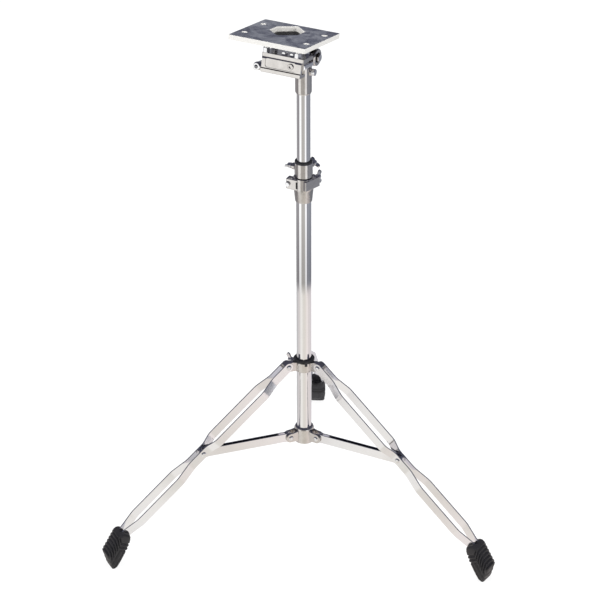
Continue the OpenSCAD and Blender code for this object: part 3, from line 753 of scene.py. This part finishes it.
def rubber_foot(leg_place):
    """A ribbed foot: a swelling block with a notch between its two lobes, cut flat on the floor."""
    bm = bmesh.new()
    length = FOOT_END - FOOT_START
    bmesh.ops.create_cone(bm, cap_ends=True, segments=144, radius1=1, radius2=1, depth=length)
    sides = [e for e in bm.edges if abs(e.verts[0].co.z - e.verts[1].co.z) > 1]
    bmesh.ops.subdivide_edges(bm, edges=sides, cuts=96, use_grid_fill=True)
    for inset in (0.35, 0.3):
        caps = [f for f in bm.faces if len(f.verts) > 4]
        bmesh.ops.inset_individual(bm, faces=caps, thickness=inset, use_even_offset=True)
    moved(bm, ALONG_X)
    for v in bm.verts:
        x = v.co.x + length / 2 + FOOT_START
        reach = (v.co.y ** 2 + v.co.z ** 2) ** 0.5
        if reach < 1e-6:
            continue
        c, s = v.co.y / reach, v.co.z / reach
        half_y, upper, lower = foot_section(x)
        centre, half_z = (upper + lower) / 2, (upper - lower) / 2
        y = abs(c) ** SQUARENESS * (1 if c > 0 else -1) * half_y
        z = abs(s) ** SQUARENESS * (1 if s > 0 else -1) * half_z
        depth = rib_wave(x, centre + z) * eased(x / 3) * eased((68 - x) / 3) * RIB_DEPTH
        keep = (1 - depth / max(half_y, half_z)) * min(1, reach)
        notch = NOTCH_DEPTH * max(0, 1 - abs(y) * min(1, reach) / NOTCH_HALF) * max(0, x / FOOT_START)
        v.co = (x + notch, y * keep, centre + z * keep)
    moved(bm, Matrix.Translation((FOOT_AT, 0, 0)) @ Matrix.Rotation(FOOT_BEND, 4, "Y"))
    bm.transform(leg_place)
    everything = list(bm.verts) + list(bm.edges) + list(bm.faces)
    cut = bmesh.ops.bisect_plane(bm, geom=everything, plane_co=(0, 0, 0), plane_no=(0, 0, -1), clear_outer=True)
    rim = [item for item in cut["geom_cut"] if isinstance(item, bmesh.types.BMEdge)]
    bmesh.ops.holes_fill(bm, edges=rim)
    bmesh.ops.recalc_face_normals(bm, faces=bm.faces)
    return bm


BRACE_WIDTH, BRACE_HEIGHT, BRACE_WALL, WEB_SETBACK = 9.6, 18, 1.7, 11


def brace_channel(length):
    """A folded channel along X, open at the top, with rounded ends and its web set back."""
    half_w, half_h = (BRACE_WIDTH - BRACE_WALL) / 2, BRACE_HEIGHT / 2
    bm = bmesh.new()
    section = [(-half_h, -half_w, half_h), (-half_h, -half_w, -half_h), (-half_h, half_w, -half_h),
               (-half_h, half_w, half_h)]
    edges = chain(bm, section, False)[1]
    for x in (WEB_SETBACK, length - WEB_SETBACK, length + half_h):
        pulled = bmesh.ops.extrude_edge_only(bm, edges=edges)["geom"]
        ahead = [item for item in pulled if isinstance(item, bmesh.types.BMVert)]
        bmesh.ops.translate(bm, verts=ahead, vec=(x - ahead[0].co.x, 0, 0))
        edges = [item for item in pulled if isinstance(item, bmesh.types.BMEdge)
                 and all(v in ahead for v in item.verts)]
    def is_web(face):
        return all(abs(v.co.z + half_h) < 0.01 for v in face.verts)
    spare = [f for f in bm.faces if is_web(f) and not
             all(WEB_SETBACK - .1 < v.co.x < length - WEB_SETBACK + .1 for v in f.verts)]
    bmesh.ops.delete(bm, geom=spare, context="FACES_ONLY")
    loose = [e for e in bm.edges if not e.link_faces]
    bmesh.ops.delete(bm, geom=loose, context="EDGES")
    ends = [v for v in bm.verts if v.co.x < -half_h + .1 or v.co.x > length + half_h - .1]
    bevel(bm, ends, half_h - 0.2, 8, "VERTICES")
    folds = [e for e in bm.edges if len(e.link_faces) == 2 and e.calc_face_angle(0) > 1]
    bevel(bm, folds, 1.6, 3)
    bmesh.ops.recalc_face_normals(bm, faces=bm.faces)
    bmesh.ops.solidify(bm, geom=list(bm.faces), thickness=BRACE_WALL)
    reach = max(abs(v.co.y) for v in bm.verts)
    moved(bm, Matrix.Diagonal((1, BRACE_WIDTH / 2 / reach, 1, 1)))
    bmesh.ops.recalc_face_normals(bm, faces=bm.faces)
    return soften(bm, 0.4, angle=60, segments=2)


def leg_and_brace(k, angle):
    pin = middle(f"brace_{k}_pin")
    hinge = Vector(joints[f"leg_{k}_hinge"]["pos_m"]) / MM
    heel = Vector(joints[f"brace_{k}_hinge"]["pos_m"]) / MM
    across = Vector((-sin(angle), cos(angle), 0))
    down, out = (pin - hinge).normalized(), (pin - heel).normalized()
    leg_place = axes(hinge, down, down.cross(across))
    brace_place = axes(heel, out, out.cross(across))
    body = f"leg_{k}"
    for side, letter in ((1, "a"), (-1, "b")):
        piece(f"leg_{k}_steel_strip_{letter}", strip(side), leg_place, strip_chrome, body, f"leg_{k}_strip_{letter}")
    piece(f"leg_{k}_rivet_heads", leg_rivets((pin - hinge).length), leg_place, bright_hardware, body,
          f"leg_{k}_rivets")
    piece(f"leg_{k}_rubber_foot", rubber_foot(leg_place), Matrix(), foot_rubber, body, f"leg_{k}_foot")
    length = (pin - heel).length
    piece(f"brace_{k}_channel", brace_channel(length), brace_place, strip_chrome, f"brace_{k}", f"brace_{k}")
    hollow = turned([(1.2, -5.05), (3.2, -5.05), (3.2, 5.05), (1.2, 5.05)], 32, closed=True)
    hollow = shifted(moved(soften(hollow, .3), ALONG_Y), x=length)
    piece(f"brace_{k}_hollow_pin", hollow, brace_place, bright_hardware, f"brace_{k}", f"brace_{k}_pin")


# ---------------------------------------------------------------- tilter

RATCHET_TEETH = 20


def ratchet_teeth(x0, height):
    """Radial teeth on the face of a ratchet disc, about X."""
    tooth = [(7, -.8), (15.4, -1.5), (15.4, 1.5), (7, .8)]
    teeth = []
    for i in range(RATCHET_TEETH):
        bm = soften(extruded(tooth, -.2, height), .25, segments=2)
        teeth.append(moved(bm, Matrix.Translation((x0, 0, 0)) @ Matrix.Rotation(2 * pi * i / RATCHET_TEETH, 4, "X")
                           @ ALONG_X))
    return joined(*teeth)


def disc(x0, x1, radius, bore, edge):
    profile = [(bore, x0), (radius - edge, x0), (radius, x0 + edge), (radius, x1 - edge), (radius - edge, x1),
               (bore, x1)]
    return moved(turned(profile, 96, closed=True), ALONG_X)


def tilter():
    hinge = Matrix.Translation((0, 0, hinge_point.z))
    low, high = low_high("tilter_socket")
    sleeve = turned([(0, low.z), (13.9, low.z), (15.4, low.z + 3), (15.4, low.z + 50), (0, low.z + 50)], 72)
    neck = joined(rod(15.3, low.z + 48, low.z + 54, 72), moved(moved(rod(13.2, -10.5, 11.4, 72), ALONG_X), hinge))
    hull = bmesh.ops.convex_hull(neck, input=list(neck.verts))
    spare = {item for key in ("geom_interior", "geom_unused") for item in hull[key]}
    bmesh.ops.delete(neck, geom=[v for v in spare if isinstance(v, bmesh.types.BMVert)], context="VERTS")
    inside = [f for f in neck.faces if len(f.verts) > 3]
    bmesh.ops.delete(neck, geom=inside, context="FACES_ONLY")
    bmesh.ops.recalc_face_normals(neck, faces=neck.faces)
    boss = moved(turned([(0, 12), (7.4, 14.6), (6.2, 16.6), (5.6, 17.4), (0, 17.4)], 40), ALONG_X)
    boss = shifted(boss, z=joints["socket_screw_turn"]["pos_m"][2] / MM)
    whole = welded(sleeve, neck, boss)
    whole = carve(whole, rod(R_UPPER + .02, low.z - 5, low_high("upper_tube")[1].z + .1, 72))
    soften(whole, 0.9, angle=45, segments=3)
    piece("tilter_socket_casting", whole, COLUMN, cast_plating, "upper_column", "tilter_socket")

    head = turned([(0, 17.7), (5.8, 17.7), (6.6, 18.4), (6.6, 23.2), (5.8, 24), (0, 24)], 48)
    for i in range(12):
        flute = shifted(rod(.75, 16, 26, 12), x=6.9)
        head = carve(head, moved(flute, turn_z(i * pi / 6)))
    screw = joined(moved(head, ALONG_X), threaded(2.5, 12.8, 18))
    piece("socket_thumb_screw", screw, screw_place("socket_screw_turn"), bright_hardware, "socket_screw",
          "socket_screw")

    still = joined(disc(11.5, 18.6, 16, 4.05, 1), ratchet_teeth(18.5, .9))
    piece("still_ratchet", still, COLUMN @ hinge, cast_plating, "upper_column", "fixed_ratchet")
    bolt = joined(moved(rod(4, -27.6, 29.4), ALONG_X), threaded(4, -29, -27),
                  moved(hex_head(7.4, 4.6), Matrix.Translation((29.3, 0, 0)) @ ALONG_X))
    piece("tilter_hinge_bolt", bolt, COLUMN @ hinge, bright_hardware, "upper_column", "tilter_bolt")
    hub = turned([(4.1, -20.5), (5.4, -20.5), (6.2, -18), (6.6, -13), (6.6, -11.4), (6, -10.9), (4.1, -10.9)],
                 48, closed=True)
    ears = []
    for side in (0, pi):
        ear = extruded(rounded([(-4, 5, 1), (4, 5, 1), (4.8, 16.2, 4.6), (-4.8, 16.2, 4.6)], 6), 0, 3.6)
        ear = moved(soften(ear, .9, segments=3), Matrix.Rotation(side, 4, "X") @ Matrix.Translation((-19.5, 0, 0))
                    @ ALONG_X)
        ears.append(ear)
    piece("tilter_wing", joined(moved(hub, ALONG_X), *ears), COLUMN @ hinge, bright_hardware, "tilter_nut",
          "tilter_wing_nut")
    moving = joined(disc(19.7, 29, 16, 4.07, 1.2), disc(28, 29, 10, 4.07, .3))
    piece("swinging_ratchet", moving, HEAD, cast_plating, "head", "moving_ratchet")
    arm = turned([(0, -55.98), (6.4, -55.98), (7, -55.4), (7, -53.5), (5.6, -53), (5.6, -17), (3.6, -16.2),
                  (3.6, -10.3), (0, -10.3)], 56)
    piece("tilter_rod", shifted(moved(arm, ALONG_Y), x=23.2, z=-8.6), HEAD, tube_chrome, "head", "tilter_arm")


# ---------------------------------------------------------------- bracket and plate

BRACKET_LEFT, BRACKET_RIGHT = -53.3, 25
SLAB_TOP = 8.2
PIN_X, PIN_W = -61.5, -20
PLATE_X, PLATE_U, PLATE_TOP, PLATE_THICK, PLATE_SIDE = -16, -53.8, 46.2, 9, 150
WINDOW_X, WINDOW_U, WINDOW_HALF, WINDOW_SIDE = PLATE_X - 6, PLATE_U + 24, 27, 15
STANDOFFS = [(PLATE_X + x, PLATE_U + 13 + u) for x in (-31, 31) for u in (-17.5, 17.5)]
BACKING_U, BACKING_THICK = -30, 4
BACKING_SCREWS = [(WINDOW_X + x, BACKING_U + u) for x in (-42, 42) for u in (-39, 39)]
PLATE_HOLES = [(PLATE_X + x, PLATE_U + u) for x in (-61, 61) for u in (-38.5, 38.5)]
BRACKET_BOLTS = [(-14, -51), (2, -51)]


def bracket():
    section = rounded([(-61, .9, .6), (-62, -3, 1), (-62, -19.8, .4), (-64.4, -20.8, .8), (-64.4, -28, 1.6),
                       (-42, -28, 1), (-42, -22.6, 1), (-56, -22, 2), (-56, -3.4, 2), (-29.6, -3, 1),
                       (-29, .9, 1)], 4)
    standing = turn_z(pi / 2) @ Matrix.Rotation(pi / 2, 4, "X")
    rail = moved(extruded(section, BRACKET_LEFT, BRACKET_RIGHT), standing)
    block = rounded([(-59, .8, .5), (-59, -27.8, 1), (-43, -27.8, 2), (-36, -20, 3), (-32, -6, 2), (-30, .8, .5)], 4)
    whole = welded(rail, moved(extruded(block, BRACKET_LEFT, BRACKET_LEFT + 8.5), standing))
    lug = extruded(rounded(box_corners(-60.5, -52, -58, -44, 1.5)), -27.5, -12.5)
    whole = welded(whole, lug)
    panel = rounded(box_corners(BRACKET_LEFT + 7, BRACKET_LEFT + 68, -18.4, -1.9, 4), 6)
    panel = moved(extruded(panel, 60.9, 66), Matrix.Rotation(pi / 2, 4, "X"))
    whole = carve(whole, panel)
    pin_bore = moved(rod(7.03, -70, -30), ALONG_Y)
    whole = carve(whole, shifted(pin_bore, x=PIN_X, z=PIN_W))
    soften(whole, 0.5, angle=45, segments=2)
    boss = turned([(0, -58), (6.6, -58), (5.6, -61), (5.6, -62.8), (5, -63.4), (0, -63.4)], 48)
    boss = carve(moved(boss, ALONG_Y), moved(extruded(hexagon(2.9), -65, -60.8), ALONG_Y))
    whole = joined(whole, shifted(boss, x=4, z=-9.8))
    piece("bracket_channel", whole, HEAD, cast_plating, "head", "bracket_body")

    slab = extruded(rounded(box_corners(BRACKET_LEFT, 29.5, -62.7, -20.7, 1.6)), 1, SLAB_TOP)
    piece("bracket_top_slab", soften(slab, 0.7, segments=3), HEAD, cast_plating, "head", "bracket_slab")
    pin = turned([(3.6, -66), (6.2, -66), (7, -65.2), (7, -61.2), (8, -60.8), (8, -58.4), (7, -58.2), (7, -42),
                  (0, -42), (0, -50), (3.6, -50)], 48)
    piece("bracket_hollow_pin", shifted(moved(pin, ALONG_Y), x=PIN_X, z=PIN_W), HEAD, bright_hardware, "head",
          "bracket_pin")
    bolts = [shifted(joined(shifted(hex_head(6.2, 5.2), z=SLAB_TOP + .02), rod(3, -2.8, SLAB_TOP + 1)), x=x, y=u)
             for x, u in BRACKET_BOLTS]
    piece("bracket_hex_bolts", joined(*bolts), HEAD, bright_hardware, "head", "bracket_bolts")


def plate():
    under = PLATE_TOP - PLATE_THICK
    sheet_low = under - BACKING_THICK
    top = sheet_low - SLAB_TOP - .04
    posts, studs = [], []
    for x, u in STANDOFFS:
        post = turned([(3.05, 8), (5, 8), (5, top - .5), (4.6, top), (3.05, top)], 40, closed=True)
        posts.append(shifted(joined(hex_head(6.6, 9), post), x=x, y=u, z=SLAB_TOP + .02))
        studs.append(shifted(rod(3, 2, under - 1), x=x, y=u))
    piece("plate_posts", joined(*posts), HEAD, bright_hardware, "head", "plate_standoffs")
    piece("plate_threaded_studs", joined(*studs), HEAD, bright_hardware, "head", "plate_studs")

    # painted shade: a near-black sheet under the window for the shade seen through it
    sheet = extruded(rounded(box_corners(WINDOW_X - 46, WINDOW_X + 46, BACKING_U - 43, BACKING_U + 43, 3)),
                     sheet_low, under - .02)
    piece("shade_backing_sheet", soften(sheet, 0.5), HEAD, painted_shade_black, "head", "plate_backing")
    head = [(0, -2.4), (3, -2.4), (3.6, -1.8), (3.6, 0), (0, 0)]
    heads = [shifted(joined(turned(head, 32), rod(2, -1, 9)), x=x, y=u, z=sheet_low - .02) for x, u in BACKING_SCREWS]
    piece("backing_sheet_screws", joined(*heads), HEAD, bright_hardware, "head", "backing_screws")

    half = PLATE_SIDE / 2
    outline = rounded(box_corners(PLATE_X - half, PLATE_X + half, PLATE_U - half, PLATE_U + half, 2), 4)
    point = WINDOW_HALF + WINDOW_SIDE
    corners = [(WINDOW_HALF, -WINDOW_SIDE), (WINDOW_HALF, WINDOW_SIDE), (0, point), (-WINDOW_HALF, WINDOW_SIDE),
               (-WINDOW_HALF, -WINDOW_SIDE), (0, -point)]
    holes = [rounded([(WINDOW_X + x, WINDOW_U + u, 4) for x, u in corners], 4)]
    holes += [arc(x, u, 3.3, 0, 2 * pi, 32)[:-1] for x, u in PLATE_HOLES]
    body = extruded(outline, under, PLATE_TOP, holes)

    def on_top(co, x, u, reach):
        return abs(co.z - PLATE_TOP) < .1 and (co.xy - Vector((x, u))).length < reach
    soften(body, 1.3, segments=1, only=lambda co: on_top(co, WINDOW_X, WINDOW_U, point + 1))
    soften(body, 2.1, segments=1, only=lambda co: any(on_top(co, x, u, 3.6) for x, u in PLATE_HOLES))
    soften(body, 0.5, angle=60, segments=2, only=lambda co: abs(co.x - PLATE_X) > half - 3
           or abs(co.y - PLATE_U) > half - 3)
    piece("top_plate", body, HEAD, plate_finish_and_shade, "head", "mounting_plate")


lower_collar()
leg_collar()
height_clamp()
memory_lock()
for number, direction in enumerate(LEGS, start=1):
    leg_and_brace(number, direction)
tilter()
bracket()
plate()

# ---------------------------------------------------------------- studio

CAMERA_HEADING, CAMERA_PITCH, CAMERA_ROLL = radians(25.62), radians(29.76), radians(0.16)
CAMERA_YAW, CAMERA_BACK, CAMERA_UP, CAMERA_LENS = radians(-0.1), 4.266, 2.922, 154.86


def set_camera():
    heading = Matrix.Rotation(CAMERA_HEADING, 3, "Z")
    right = Vector((cos(CAMERA_YAW), -sin(CAMERA_YAW), 0))
    level = Vector((sin(CAMERA_YAW), cos(CAMERA_YAW), 0))
    ahead = level * cos(CAMERA_PITCH) - Vector((0, 0, sin(CAMERA_PITCH)))
    upward = level * sin(CAMERA_PITCH) + Vector((0, 0, cos(CAMERA_PITCH)))
    side = right * cos(CAMERA_ROLL) - upward * sin(CAMERA_ROLL)
    top = right * sin(CAMERA_ROLL) + upward * cos(CAMERA_ROLL)
    turn = heading @ Matrix((side, top, -ahead)).transposed()
    place = column_axis * MM + heading @ Vector((0, -CAMERA_BACK, CAMERA_UP))
    data = bpy.data.cameras.new("camera")
    data.lens, data.sensor_width, data.clip_end = CAMERA_LENS, 36, 100
    camera = bpy.data.objects.new("camera", data)
    camera.matrix_world = Matrix.Translation(place) @ turn.to_4x4()
    bpy.context.scene.collection.objects.link(camera)
    bpy.context.scene.camera = camera


def ramp(tree, source, stops):
    made = node(tree, "ShaderNodeValToRGB", source)
    points = made.color_ramp.elements
    while len(points) < len(stops):
        points.new(0.5)
    for point, (position, colour) in zip(points, stops):
        point.position, point.color = position, (*colour, 1)
    return made.outputs["Color"]


def bearing(tree, vector):
    """Direction round the column from the camera's side, as a share of a full turn, and how far it looks up."""
    turn = node(tree, "ShaderNodeMapping", vector, Rotation=(0, 0, pi / 2 - CAMERA_HEADING))
    parts = node(tree, "ShaderNodeSeparateXYZ", turn.outputs["Vector"])
    angle = node(tree, "ShaderNodeMath", parts.outputs["Y"], parts.outputs["X"], operation="ARCTAN2")
    return remapped(tree, angle.outputs[0], -pi, pi).outputs["Result"], parts.outputs["Z"]


# what polished metal sees of the room round the stand: (share of a turn, colour)
FAR_FLATS = [
    (0.0, (.30, .31, .34)), (.14, (.38, .37, .38)), (.24, (.29, .28, .29)), (.285, (.32, .30, .31)),
    (.305, (1.1, 1.1, 1.1)), (.385, (1.1, 1.1, 1.08)), (.41, (.50, .48, .455)), (.545, (.50, .485, .46)),
    (.57, (1.1, 1.1, 1.1)), (.62, (1.1, 1.1, 1.12)), (.64, (.25, .26, .29)), (.72, (.32, .33, .37)),
    (.80, (.25, .265, .30)), (.90, (.27, .28, .32)), (.94, (.50, .50, .54)), (1.0, (.30, .31, .34))]
# and of the paper sheet under it
SHEET_TONES = [
    (0.0, (.66, .65, .68)), (.19, (.56, .55, .54)), (.25, (.70, .66, .66)), (.31, (.70, .66, .63)),
    (.36, (.88, .86, .82)), (.42, (.90, .87, .82)), (.46, (.78, .75, .69)), (.55, (.77, .72, .66)),
    (.60, (.86, .80, .75)), (.65, (.90, .83, .80)), (.70, (.75, .69, .67)), (.85, (.72, .67, .68)),
    (.93, (.68, .66, .68)), (1.0, (.66, .65, .68))]
SHEET_RADIUS, SHEET_EDGE, DIM_RADIUS, RING_SHADE = 0.92, 0.035, 1.3, 0.72
SHEET_DEPTH, FLOOR_DEPTH = 0.0003, 0.0004
CEILING_COLOUR, CEILING_FROM = (.075, .078, .11), 0.2
EVEN_LIGHT, FLOOR_GLOW = 0.75, 0.8


def set_room():
    """A white room for the eye; metal also sees grey flats at the sides and a dark ceiling."""
    room = bpy.data.worlds.new("studio")
    bpy.context.scene.world = room
    room.use_nodes = True
    tree = room.node_tree
    tree.nodes.clear()
    share, upward = bearing(tree, node(tree, "ShaderNodeTexCoord").outputs["Generated"])
    lift = remapped(tree, upward, 0.0, CEILING_FROM, interpolation_type="SMOOTHSTEP")
    walls = mixed_colour(tree, lift.outputs["Result"], ramp(tree, share, FAR_FLATS), (*CEILING_COLOUR, 1))
    seen = node(tree, "ShaderNodeBackground", walls, Strength=1.0).outputs[0]
    even = node(tree, "ShaderNodeBackground", Color=(1, 1, 1, 1), Strength=EVEN_LIGHT).outputs[0]
    plain = node(tree, "ShaderNodeBackground", Color=(1, 1, 1, 1), Strength=1.0).outputs[0]
    ray = node(tree, "ShaderNodeLightPath").outputs
    matt = node(tree, "ShaderNodeMixShader", ray["Is Diffuse Ray"], seen, even).outputs[0]
    choose = node(tree, "ShaderNodeMixShader", ray["Is Camera Ray"], matt, plain).outputs[0]
    node(tree, "ShaderNodeOutputWorld", choose)


def set_sheet():
    """The white sheet under the stand, which only polished metal sees, with a dimmer ring round it."""
    bm = bmesh.new()
    bmesh.ops.create_circle(bm, cap_ends=True, radius=DIM_RADIUS, segments=96)
    sheet = new_object("paper_sheet", bm)
    sheet.location = column_axis * MM - Vector((0, 0, SHEET_DEPTH))
    for way in ("camera", "diffuse", "shadow", "transmission", "volume_scatter"):
        setattr(sheet, "visible_" + way, False)
    paper = blank_material("sheet_paper")
    tree = paper.node_tree
    where = node(tree, "ShaderNodeTexCoord").outputs["Object"]
    share = bearing(tree, where)[0]
    distance = node(tree, "ShaderNodeVectorMath", where, operation="LENGTH").outputs["Value"]
    dim = remapped(tree, distance, SHEET_RADIUS, DIM_RADIUS, RING_SHADE, 1).outputs["Result"]
    ring = node(tree, "ShaderNodeVectorMath", ramp(tree, share, FAR_FLATS), operation="SCALE", Scale=dim)
    beyond = remapped(tree, distance, SHEET_RADIUS - SHEET_EDGE, SHEET_RADIUS + SHEET_EDGE,
                      interpolation_type="SMOOTHSTEP").outputs["Result"]
    tone = mixed_colour(tree, beyond, ramp(tree, share, SHEET_TONES), ring.outputs["Vector"])
    glow = node(tree, "ShaderNodeEmission", tone, Strength=1.0)
    node(tree, "ShaderNodeOutputMaterial", glow.outputs[0])
    sheet.data.materials.append(paper)


def set_floor():
    """A pale floor that metal sees through, so that polished pieces mirror the room."""
    bm = bmesh.new()
    bmesh.ops.create_grid(bm, x_segments=1, y_segments=1, size=6)
    floor = new_object("floor", bm)
    floor.location.z = -FLOOR_DEPTH
    paint = blank_material("floor_paint")
    tree = paint.node_tree
    matt = node(tree, "ShaderNodeBsdfDiffuse", Color=(.92, .92, .92, 1)).outputs[0]
    glow = node(tree, "ShaderNodeEmission", Strength=1.0).outputs[0]
    pale = node(tree, "ShaderNodeMixShader", None, matt, glow, Fac=FLOOR_GLOW).outputs[0]
    clear = node(tree, "ShaderNodeBsdfTransparent").outputs[0]
    glossy = node(tree, "ShaderNodeLightPath").outputs["Is Glossy Ray"]
    choose = node(tree, "ShaderNodeMixShader", glossy, pale, clear)
    node(tree, "ShaderNodeOutputMaterial", choose.outputs[0])
    floor.data.materials.append(paint)


def softbox(name, azimuth, distance, height, size, power):
    data = bpy.data.lights.new(name, "AREA")
    data.shape, data.size, data.energy = "SQUARE", size, power
    light = bpy.data.objects.new(name, data)
    target = column_axis * MM + Vector((0, 0, 0.5))
    place = target + Vector((distance * cos(azimuth), distance * sin(azimuth), height - 0.5))
    light.matrix_world = Matrix.Translation(place) @ (target - place).to_track_quat("-Z", "Y").to_matrix().to_4x4()
    light.visible_glossy = False
    bpy.context.scene.collection.objects.link(light)


set_camera()
set_room()
set_floor()
set_sheet()
camera_side = CAMERA_HEADING - pi / 2
softbox("left_softbox", camera_side - radians(62), 2.6, 2.4, 1.4, 90)
softbox("right_softbox", camera_side + radians(58), 2.6, 2.1, 1.4, 75)
softbox("back_softbox", camera_side + radians(178), 2.8, 3.0, 1.6, 80)
bpy.context.scene.view_settings.view_transform = "Standard"
